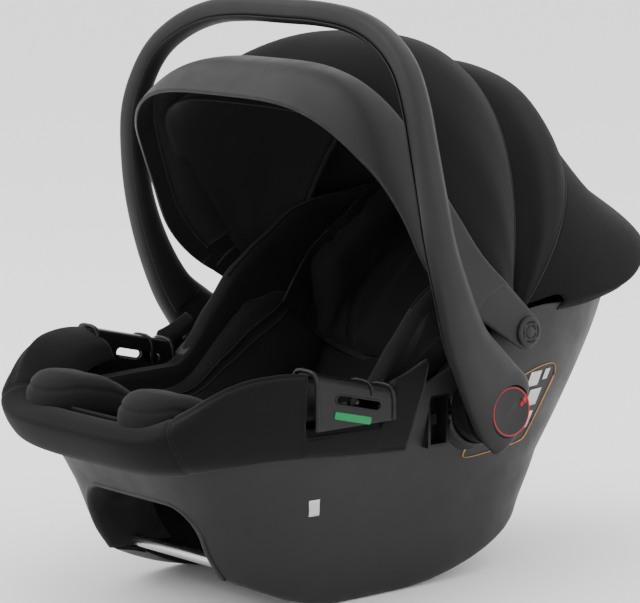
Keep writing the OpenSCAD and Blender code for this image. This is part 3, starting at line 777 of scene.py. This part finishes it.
def build_visor():
    lo = np.array([3.2 + 86.8 * (k / 60.0) ** 1.35 for k in range(61)])
    f = np.concatenate([lo, 180 - lo[:-1][::-1]])
    w = np.concatenate([[0, 0.012, 0.04], np.linspace(0.1, 0.93, 15), [0.97, 1.0]])
    outer = np.stack([visor_point(f, k, 2 - 2.2 * float(k < 0.01) - 1.0 * float(k > 0.99)) for k in w], 1)
    inner = np.stack([visor_point(f, k, -1) for k in w[::-1]], 1)
    ob = grid("visor_hood", np.concatenate([outer, inner], 1), SHELL, wrap_v=True, caps=True)
    place(ob, "canopy_front", "shell_plastic", "canopy_visor")
    for s, side in ((-1, "left"), (1, "right")):
        build_arm(s, side)


def build_arm(s, side):
    """Flat arm of the visor: from the round end at the pivot to the hood."""
    c = np.array(PIVOT)
    f_top = 5.2
    x_top = np.array([visor_point(f_top, w, 2)[0] for w in (0, 1)])
    front, rear = [], []
    for f in np.linspace(f_top, 3.4, 5):
        front.append(visor_point(f, 0.0, 0)[1:])
        rear.append(visor_point(f, 1.0, 0)[1:])
    down = c - (np.array(front[-1]) + np.array(rear[-1])) / 2
    down /= np.linalg.norm(down)
    across = np.array([-down[1], down[0]])
    if np.dot(across, np.array(front[-1]) - c) < 0:
        across = -across
    for a in np.linspace(0, 90, 9):
        front.append(c + 17 * (cosd(a) * across + sind(a) * down))
        rear.append(c + 17 * (-cosd(a) * across + sind(a) * down))
    front, rear = np.array(front), np.array(rear)
    n = len(front)
    xs = np.interp(np.linspace(0, 1, n), [0, 0.35, 1], [x_top.mean(), 192.6, 192.4])
    v = np.linspace(0, 1, 13)
    bulge = 1.0 * sind(180 * v) ** 0.5
    p = np.zeros((n, len(v), 3))
    for j, k in enumerate(v):
        p[:, j, 1:] = mix(front, rear, k)
        p[:, j, 0] = s * (xs - 1.2 + bulge[j])
    q = p[:, ::-1].copy()
    q[:, :, 0] -= s * 2.6
    ob = grid("visor_arm_" + side, np.concatenate([p, q], 1), SHELL, wrap_v=True, caps=True)
    place(ob, "canopy_front", "shell_plastic")


def build_caps():
    """Round pivot caps with broken rings of vents."""
    parts = []
    a = np.linspace(0, 360, 64, endpoint=False)
    for s in (-1, 1):
        r = [0.01, 9, 12.2, 13.4, 14, 14, 0.01]
        x = [196.3, 196.2, 195.8, 195, 194, 192.8, 192.8]
        p = np.stack([points3(s * xx, PIVOT[0] + rr * cosd(a), PIVOT[1] + rr * sind(a))
                      for xx, rr in zip(x, r)], 1)
        ob = grid("cap", p, SHELL, wrap_u=True)
        for k in range(4):
            for lo, hi, off in ((5.4, 6.6, 0), (8.6, 10.0, 45)):
                b = np.linspace(90 * k + off + 12, 90 * k + off + 78, 10)
                ring = np.concatenate([np.c_[lo * cosd(b), lo * sind(b)],
                                       np.c_[hi * cosd(b), hi * sind(b)][::-1]]) + np.array(PIVOT)
                cut(ob, prism("vent", ring, 0, s * 195, s * 198))
        parts.append(ob)
    place(join("pivot_caps", parts), "canopy_front", "shell_plastic", "canopy_caps")


def cloth_point(h0, h1, f, w, swell, off):
    h = h0[:, None, None] * (1 - w) + h1[:, None, None] * w
    puff = swell * np.maximum(sind(180 * w), 0) ** 0.9
    n = h[2]
    q = np.maximum(sind(f), 0) ** (2 / n)
    r = h[1] + puff + off
    return points3((h[0] + 0.3 * puff + off) * spow(cosd(f), 2 / n), PIVOT[0] + r * q * sind(h[3]),
                   PIVOT[1] + r * q * cosd(h[3]))


def line_inside_painted_light(ob):
    """Gives the inner face of a hood cloth its lining: a paler cloth, painted light for the hood's shaded
    inside.
    """
    ob.data.materials.append(LINING_PAINTED_LIGHT)
    hub = Vector((0, PIVOT[0] * MM, PIVOT[1] * MM))
    for f in ob.data.polygons:
        arm = f.center - hub
        f.material_index = int(f.normal.dot(arm) < 0)


def canopy_sheet(name, h0, h1, swell, node, start, end, lead=0.0):
    f = np.linspace(2, 178, 124)[:, None]
    w = np.linspace(-lead, 1, 32)[None, :]
    p = cloth_point(h0, h1, f, w, swell, 3.4)
    out = p - np.array([0, PIVOT[0], PIVOT[1]])
    out /= np.linalg.norm(out, axis=2)[:, :, None]
    wrinkle = (0.7 * np.sin(0.11 * f * (1 + 0.3 * w) + 9 * w) * sind(180 * w)
               + 0.5 * np.sin(0.23 * f - 5 * w) * sind(180 * w))
    ob = grid(name, p + out * wrinkle[:, :, None], CANOPY)
    thicken(ob, 1.2, offset=0)
    line_inside_painted_light(ob)
    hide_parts(node)
    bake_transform(ob)
    return p


def build_canopy():
    bow_top = lambda h: tuple(hoop(*h, 90) * MM)
    canopy_sheet("canopy_cloth_front", FRONT_HOOP, MID_BOW, 15, "canopy_front_panel",
                 bow_top(MID_BOW), bow_top(FRONT_HOOP),
                 lead=0.1)
    rear = canopy_sheet("canopy_cloth_rear", MID_BOW, REAR_BOW, 12, "canopy_rear_panel",
                        bow_top(REAR_BOW), bow_top(MID_BOW))
    for name, p, body in (("mid_seam", rear[:, 0], "canopy_mid"), ("rear_seam", rear[:, -1], "seat")):
        out = p - np.array([0, PIVOT[0], PIVOT[1]])
        out /= np.linalg.norm(out, axis=1)[:, None]
        piping("canopy_" + name, resample(p + out * 0.4, 160), 1.5, body, "canopy_fabric")


DRAPE_PEAK = 337.6


def drape_row(f, k):
    """Edge curves of the rear drape: k from the rear bow (0) over the peak to the hem (4)."""
    s, c = np.maximum(sind(f), 0) ** 0.8, cosd(f)
    q = np.maximum(sind(f), 0)
    if k == 0:
        return hoop(164.5 + 3.2, 232 + 3.2, 2, 45.8, f)
    a, y0, y1, z0, z1, e = [(168, 82, 266, 268, 366, 1.5), (170, 78, 334, 266, 322, 2),
                            (170, 76, DRAPE_PEAK, 264, 298, 2), (168, 74, 309, 261, 275, 2)][k - 1]
    return points3(a * spow(c, 0.9), mix(y0, y1, s), mix(z0, z1, q**e))


def build_drape():
    f = np.linspace(7, 173, 130)
    knots = np.stack([drape_row(f, k) for k in range(5)], 1)
    rows = spline([(k, *knots[:, k].ravel()) for k in range(5)])
    ks = np.concatenate([np.linspace(0, 3, 34), np.linspace(3, 4, 12)[1:]])
    p = np.stack([rows(k).reshape(-1, 3) for k in ks], 1)
    sag = 2.2 * np.sin(0.16 * f)[:, None] * np.sin(0.9 * ks)[None, :]
    p[:, :, 2] += sag * np.clip(ks, 0, 1)[None, :]
    ob = grid("canopy_drape_cloth", p, CANOPY)
    thicken(ob, 1.4, offset=0)
    place(ob, "seat", "canopy_fabric", "canopy_drape")
    hem = p[:, -1]
    piping("drape_binding", resample(hem, 170), 1.7, "seat", "canopy_fabric")
    for k, name in ((-4, "a"), (-6, "b")):
        path = snap(resample(p[:, k], 160), ob, 0.2)
        stitches("drape_stitches_" + name, path, THREAD, "seat", "canopy_fabric")


def build_lining():
    """Bound edge and lining inside the hood; the lining's pale cloth is painted light for the shaded
    inside.
    """
    f = np.linspace(6, 174, 116)
    w = np.linspace(0.34, 1.0, 14)
    p = np.stack([visor_point(f, k, -1.8 - 3.0 * sind(180 * (k - 0.34) / 0.66)) for k in w], 1)
    ob = grid("hood_lining_painted_light", p, LINING_PAINTED_LIGHT)
    thicken(ob, 1.0, offset=0)
    place(ob, "canopy_front", "canopy_fabric")
    piping("lining_binding", resample(p[:, 0], 150), 1.7, "canopy_front", "canopy_fabric")


build_visor()
build_caps()
build_canopy()
build_drape()
build_lining()

# ---------------------------------------------------------------- padded cover: skirt and lip

COVER_TOP = spline([(-320, 187), (-313, 188), (-305, 192.5), (-297, 199), (-288, 206.5),
                    (-275, 217.5), (-265, 224.5), (-253, 230), (-225, 235), (-185, 233),
                    (-145, 226), (-105, 217), (-67, 229), (-36, 250), (-20, 262)])
COVER_HEM = spline([(-316, 141), (-290, 150), (-255, 155), (-104, 151), (-35, 147)])
LIP = spline([(-318, 34), (-300, 27), (-270, 15), (-200, 8), (-35, 6)])


def skirt_profile(t):
    y = float(tub(205, t, 0)[1])
    top, hem, b = float(COVER_TOP(y)), float(COVER_HEM(y)), float(LIP(y))
    dip = float(step(-192, -187, y) * (1 - step(-98, -93, y)))
    top = mix(top, 182.5, dip)
    h = top - hem
    lip = 1 - float(step(-300, -262, y))
    front = 1 - float(step(-200, -190, y))
    inner = mix(mix(14, 38, front), 27, lip) * (1 - 0.72 * dip)
    drop = mix(mix(12, 30, front), 36, lip) * (1 - 0.8 * dip)
    pts = [(1.2, hem + 5), (1.0, hem), (b * 0.45, hem - 0.8), (b * 0.74, hem + 0.06 * h),
           (b * 0.93, hem + 0.18 * h), (b * 1.0, hem + 0.37 * h), (b * 1.0, hem + 0.56 * h),
           (b * 0.93, hem + 0.75 * h), (b * 0.7, top - 6.5), (b * 0.36, top - 1.4),
           (-1 * (1 - dip), top), (-inner * 0.5, top - drop * 0.2),
           (-inner * 0.85, top - drop * 0.5), (-inner, top - drop)]
    return pts


def build_skirt():
    turns = even_turns(230, 205, 181.0, 359.0)
    ends = [t for t in turns if tub(205, t, 0)[1] < -48.2]
    rows = []
    for t in ends:
        prof = skirt_profile(t)
        s = spline([(k, *q) for k, q in enumerate(prof)])
        dz = s(np.linspace(0, len(prof) - 1, 46))
        rows.append(tub(dz[:, 1], t, dz[:, 0]))
    rows = np.array(rows)
    ob = grid("cover_lip", rows, CLOTH)
    thicken(ob, 3.0)
    place(ob, "seat", "cover_fabric", "cover_skirt")
    piping("skirt_binding", resample(rows[:, 3], 260), 1.5)
    return ob, rows, ends


def lip_seams(ob, rows, ends):
    """Joins of the lip panel with the side panels, and the seam along each side panel's top."""
    at = tub(205, np.array(ends), 0)
    for s, side in ((-1, "left"), (1, "right")):
        mine = at[:, 0] * s > 0
        col = int(np.argmin(np.abs(at[:, 1] + 296) + 1e6 * ~mine))
        path = resample(snap(rows[col, 7:40], ob), 80)
        cols = np.nonzero(mine & (at[:, 1] > at[col, 1]) & (at[:, 1] < -194))[0]
        top = snap(rows[cols, 30], ob)
        top = resample(top[np.argsort(top[:, 1])], 90)
        for name, line_path in (("lip_join_", path), ("top_join_", top)):
            groove(ob, line_path, 4.5, 1.5)
            piping(name + side, snap(line_path, ob, -0.45), 0.7)


skirt, skirt_rows, skirt_turns = build_skirt()
lip_seams(skirt, skirt_rows, skirt_turns)

# ---------------------------------------------------------------- seat cover, inserts and pads

EYE = np.array([0, -45, 420.0])
FLOOR_LINE = spline([(-50, 348), (-45, 350), (-40, 351), (-30, 350), (-20, 345), (-10, 338),
                     (5, 324), (15, 309.5)])
RIM_LINE = spline([(-50, 306), (-46, 275), (-40, 243), (-27, 218), (-16, 211), (-6, 189),
                   (3, 158), (15, 142), (30, 137), (50, 143), (58, 158), (68, 190), (70, 196)])
HALF_LINE = spline([(-50, 84), (-45, 110), (-40, 126), (-30, 138), (-20, 144), (0, 147),
                    (50, 147), (58, 142), (63, 132), (70, 114)])
FACE = 20.8


def wall_top(a):
    """Radius of the padded wall's top: low along the front, where the lip covers it."""
    a = np.asarray(a, float)
    low = np.minimum(228 / cosd(a), FLOOR_LINE(np.minimum(a, 15)) - 10)
    return mix(low, RIM_LINE(a), step(-16, -5, a))


def bowl(a, v, d):
    a, v = np.broadcast_arrays(np.asarray(a, float), np.asarray(v, float))
    low = np.where(a > 15, 268 / cosd(a - 45), FLOOR_LINE(np.minimum(a, 15)))
    top = wall_top(a)
    r = top + (low - top - d) * np.maximum(cosd(90 * v), 0) ** 0.66
    return EYE + points3((HALF_LINE(a) - d) * spow(sind(90 * v), 0.66), r * sind(a), -r * cosd(a))


def rolled_rim(a, s):
    """Padded roll over the seat's side wall, from the inner face to the outside."""
    a = np.asarray(a, float)
    half = HALF_LINE(a)
    high = step(-18, -4, a)
    top = wall_top(a)
    out = []
    for x, r in ((half - 20.5, top - high), (half - 18.5, top - 6 * high),
                 (half - 13.5, top - 9.5 * high), (half - 8, top - 10 * high),
                 (half - 3.5, top - 7 * high), (half - 1.2, top + mix(4, -1, high)),
                 (half - 0.8, top + 12), (half - 0.8, top + 34)):
        out.append(EYE + points3(s * x, r * sind(a), -r * cosd(a)))
    return np.stack(out, 1)


def build_seat():
    a = np.linspace(-47.4, 68, 120)
    v = np.linspace(-0.97, 0.97, 81)
    bulge = lambda a, v: (9 * np.exp(-((a - 20) / 14.0) ** 2) * np.exp(-(v / 0.42) ** 4)
                          + 1.0 * np.sin(a * 0.35) * np.exp(-(v / 0.6) ** 4))
    aa, vv = a[:, None], v[None, :]
    inner = bowl(aa, vv, (FACE + bulge(aa, vv)) * (0.3 + 0.7 * step(-48, -39, aa)))
    p = np.concatenate([rolled_rim(a, -1)[:, ::-1], inner, rolled_rim(a, 1)], 1)
    ob = grid("seat_cover_cloth", p, INNER)
    thicken(ob, 3.0, even=False)
    for s in (-1, 1):
        groove(ob, bowl(np.linspace(-20, 60, 60), s * 0.5, FACE), 5, 1.6)
    place(ob, "seat", "cover_fabric", "cover_seat")
    for s, side in ((-1, "left"), (1, "right")):
        edge = rolled_rim(np.linspace(3, 66, 80), s)[:, 2]
        piping("wing_piping_" + side, snap(edge, ob, 0.3), 1.1)


def closed_form(name, top, low, material):
    nu, nv = top.shape[:2]
    verts = np.concatenate([top.reshape(-1, 3), low.reshape(-1, 3)])
    sheet = grid_faces(nu, nv)
    faces = [tuple(f) for f in sheet] + [tuple((f + nu * nv)[::-1]) for f in sheet]
    loop = ([(0, j) for j in range(nv)] + [(i, nv - 1) for i in range(1, nu)]
            + [(nu - 1, j) for j in range(nv - 2, -1, -1)] + [(i, 0) for i in range(nu - 2, 0, -1)])
    ids = [i * nv + j for i, j in loop]
    for k, q in enumerate(ids):
        n = ids[(k + 1) % len(ids)]
        faces.append((q, n, n + nu * nv, q + nu * nv))
    ob = new_object(name, verts, faces, material)
    outward(ob)
    return ob


def oval_patch(a0, a1, v0, v1):
    """A grid over an oval patch of the bowl's (a, v) sheet."""
    i = np.linspace(-1, 1, 30)[:, None]
    j = np.linspace(-1, 1, 22)[None, :]
    u = i * np.sqrt(np.maximum(1 - 0.42 * j**2, 0))
    w = j * np.sqrt(np.maximum(1 - 0.42 * i**2, 0))
    return mix(a0, a1, (u + 1) / 2), mix(v0, v1, (w + 1) / 2), i, j


def build_insert(s, side):
    """Side cushion of the newborn insert, lying on the bowl's wall."""
    a, v, i, j = oval_patch(-31, 29, 0.34, 0.968)
    crown = np.maximum((1 - np.abs(i) ** 3) * (1 - np.abs(j) ** 3), 0) ** 0.45
    top = bowl(a, s * v, FACE + 1.5 + 21 * crown)
    low = bowl(a, s * v, FACE + 0.6)
    ob = closed_form("insert_%s" % side, top, low, INNER)
    rim = np.concatenate([top[0], top[1:, -1], top[-1, ::-1][1:], top[::-1, 0][1:-1]])
    inflate(ob, 7.0, pins=resample(rim, 140, closed=True), pin_width=5)
    seam = snap(resample(top[:, -5], 90), ob)
    groove(ob, seam, 5.0, 1.8)
    place(ob, "seat", "cover_fabric", "body_insert_" + side)
    for k, cols in (("a", -6), ("b", -4)):
        path = snap(resample(top[2:-2, cols], 80), ob, 0.2)
        piping("insert_piping_%s_%s" % (side, k), path, 0.9)


def build_thigh(s, side):
    """Leg cushion: a crowned top panel sewn to a soft side wall along a seam all round."""
    lat = np.concatenate([np.linspace(-84, 30, 17), np.linspace(36, 84, 8)])[:, None]
    turn = np.linspace(0, 360, 56, endpoint=False)[None, :]

    def pad(lat, turn):
        out, up = np.maximum(cosd(lat), 0) ** 0.5, spow(sind(lat), 0.85)
        x = 70 + 43 * out * spow(cosd(turn), 0.85)
        y = -258 + 57 * out * spow(sind(turn), 0.85)
        mid = np.interp(y, [-316, -290, -255, -200], [189, 193, 186, 160])
        return points3(s * x, y, mid + up * np.where(up > 0, 25, 22))

    ob = grid("thigh_cushion_" + side, pad(lat, turn), INNER, wrap_v=True, caps=True)
    loop = pad(24.0, np.linspace(0, 360, 160, endpoint=False))
    inflate(ob, 4.5, pins=loop, pin_width=4)
    seam = snap(loop, ob)
    groove(ob, seam, 3.6, 1.5)
    place(ob, "seat", "cover_fabric", "thigh_pad_" + side)
    piping("thigh_seam_" + side, snap(seam, ob, -0.5), 0.6, closed=True)


build_seat()
for sign, label in ((-1, "left"), (1, "right")):
    build_insert(sign, label)
    build_thigh(sign, label)

# ---------------------------------------------------------------- headrest

SLOPE = math.sqrt(0.5)
HEAD_HALF = spline([(-90, 91), (-70, 101), (-50, 107), (-20, 109.5), (0, 106), (15, 100), (30, 94),
                    (56, 90), (74, 83), (92, 66)])


def head_point(t, v, d):
    t, v = np.broadcast_arrays(np.asarray(t, float), np.asarray(v, float))
    depth = mix(46, 90.0, step(-90, -30, t))
    n = FACE + 3 + d + (depth - d) * (1 - np.maximum(cosd(90 * v), 0) ** 0.6)
    x = (HEAD_HALF(t) - d) * spow(sind(90 * v), 0.6)
    return EYE + points3(x, (268 - n + t) * SLOPE, (t - 268 + n) * SLOPE)


def build_headrest():
    t = np.linspace(-86, 91, 34)[:, None]
    v = np.linspace(-1, 1, 56)[None, :]
    i = t / 91.0
    crown = np.maximum((1 - np.abs(i) ** 4), 0) ** 0.4 * np.maximum(1 - np.abs(v) ** 12, 0) ** 0.3
    low = head_point(t, v, 3.6)
    top = head_point(t, v, 5 + 17 * crown)
    ob = closed_form("head_cushion", top, low, INNER)
    seams = []
    for s in (-1, 1):
        tt = np.linspace(-84, 86, 60)
        seams.append(head_point(tt, s * (0.44 + 0.1 * np.cos(tt / 50.0)), 21))
    inflate(ob, 6.0, pins=np.concatenate(seams), pin_width=4)
    for k, path in enumerate(seams):
        on = snap(resample(path, 90), ob)
        groove(ob, on, 6, 2.6)
        piping("head_seam_%d" % k, snap(on, ob, -0.4), 0.8, "headrest")
    place(ob, "headrest", "cover_fabric", "headrest_pad")


build_headrest()

# ---------------------------------------------------------------- belt guides


def build_guide(s, side):
    """Saddle over the rim: outer and inner plate, rolled top, raised end rims, slot."""
    ys = np.linspace(-187, -97, 40)
    tops = np.interp(ys, [-187, -97], [234.5, 212.5])
    prof = lambda top: [(178.2, 182.2), (178.4, 190), (178.2, top - 12), (176.5, top - 5),
                        (172.5, top - 0.8), (166, top), (156, top), (150, top - 1.6), (146.5, top - 7),
                        (145.6, top - 14), (145.6, 186)]
    rows = np.array([[(s * x, y, z) for x, z in prof(t)] for y, t in zip(ys, tops)])
    fine = np.array([resample(r, 44) for r in rows])
    ob = grid("guide_saddle_" + side, fine, BLACK)
    flip = -1.0 if ob.data.polygons[0].normal.x * s > 0 else 1.0
    thicken(ob, 3.4, offset=flip)
    slot = rounded(54, 9, 4.4, centre=(-139, 203), turn=-13.5)
    cut(ob, prism("slot", slot, 0, s * 138, s * 190))
    ob.data.set_sharp_from_angle(angle=math.radians(40))
    place(ob, "seat", "black_plastic", "belt_guide_" + side)
    rims = []
    for k in (0, -1):
        rims.append(tube("rim", resample(rows[k] + [0, 0, 0.6], 60), 2.3, BLACK, 10))
    rims.append(tube("rim", resample(rows[28][2:] + [0, 0, 0.8], 50), 1.7, BLACK, 10))
    edge = np.c_[np.full(len(slot), s * 178.3), slot]
    rims.append(tube("rim", resample(edge, 90, closed=True), 0.9, BLACK, 8, closed=True))
    place(join("guide_rims_" + side, rims), "seat", "black_plastic")


def build_marks():
    parts = []
    for s in (-1, 1):
        ob = prism("mark", rounded(44, 7, 2, centre=(-146, 190), turn=-13.5), 0, s * 177.8,
                   s * 179.4, GREEN)
        soften(ob, 0.5, 2)
        parts.append(ob)
    place(join("guide_marks_green", parts), "seat", "green_plastic", "guide_marks")


for sign, label in ((-1, "left"), (1, "right")):
    build_guide(sign, label)
build_marks()

# ---------------------------------------------------------------- stickers


def film(name, turns, heights, lift, material, slot, *replaced):
    """Thin film on the tub's side between two turn angles and heights."""
    p = np.stack([tub(z, turns, lift) for z in heights], 1)
    ob = grid(name, p, material)
    thicken(ob, 0.25, offset=0)
    return place(ob, "seat", slot, *replaced)


def side_film(s, side, replaced):
    """Blank information label: an amber outline round empty pale boxes."""
    corner = [(6, 128), (27.5, 133), (31, 196), (28, 208), (22, 207), (9, 190)]
    loop = resample(np.array([(t, z, 0) for t, z in corner]), 120, closed=True)
    turn = loop[:, 0] if s > 0 else 180 - loop[:, 0]
    path = tub(loop[:, 1], turn, 0.5)
    smooth = path.copy()
    for _ in range(6):
        smooth = (np.roll(smooth, 1, 0) + smooth * 2 + np.roll(smooth, -1, 0)) / 4
    place(tube("label_outline_" + side, smooth, 0.75, AMBER, 6, closed=True, flat=0.4), "seat",
          "label_film", *replaced)
    parts = []
    for t0, t1, z0, z1 in ((20, 24, 188, 202), (25.4, 27.4, 192, 202), (14, 18, 178, 192),
                           (14, 17, 150, 172), (22, 26.5, 168, 184), (22, 26.5, 146, 162)):
        t = np.linspace(t0, t1, 8)
        t = t if s > 0 else 180 - t
        p = np.stack([tub(z, t, 0.45) for z in np.linspace(z0, z1, 5)], 1)
        parts.append(grid("box", p, WHITE))
    ob = join("label_boxes_" + side, parts)
    thicken(ob, 0.2, offset=0)
    place(ob, "seat", "label_film")


side_film(1, "right", ("side_labels",))
side_film(-1, "left", ())
film("front_sticker", np.linspace(-18.2, -14.8, 8), np.linspace(97, 113, 6), 0.5, WHITE,
     "label_film", "front_label")

# ---------------------------------------------------------------- carried-over nodes

record = frame["record"]
slot_of = {p["node"]: p["material_slot"] for p in record["subparts"]}
for node, ob in frame["nodes"].items():
    look = SLOT_LOOK[slot_of[node]]
    # the hook and bows take the pale lining cloth, whose paleness is painted light for the shade inside
    # the hood
    if node in ("canopy_hook", "canopy_mid_bow", "canopy_rear_bow"):
        look = LINING_PAINTED_LIGHT
    if node.startswith("latch_bolt"):
        look = BLACK
    ob.data.materials.clear()
    ob.data.materials.append(look)

floor = new_object("floor", [(-9000, -9000, 0), (9000, -9000, 0), (9000, 9000, 0),
                             (-9000, 9000, 0)], [(0, 1, 2, 3)], FLOOR, smooth=False)
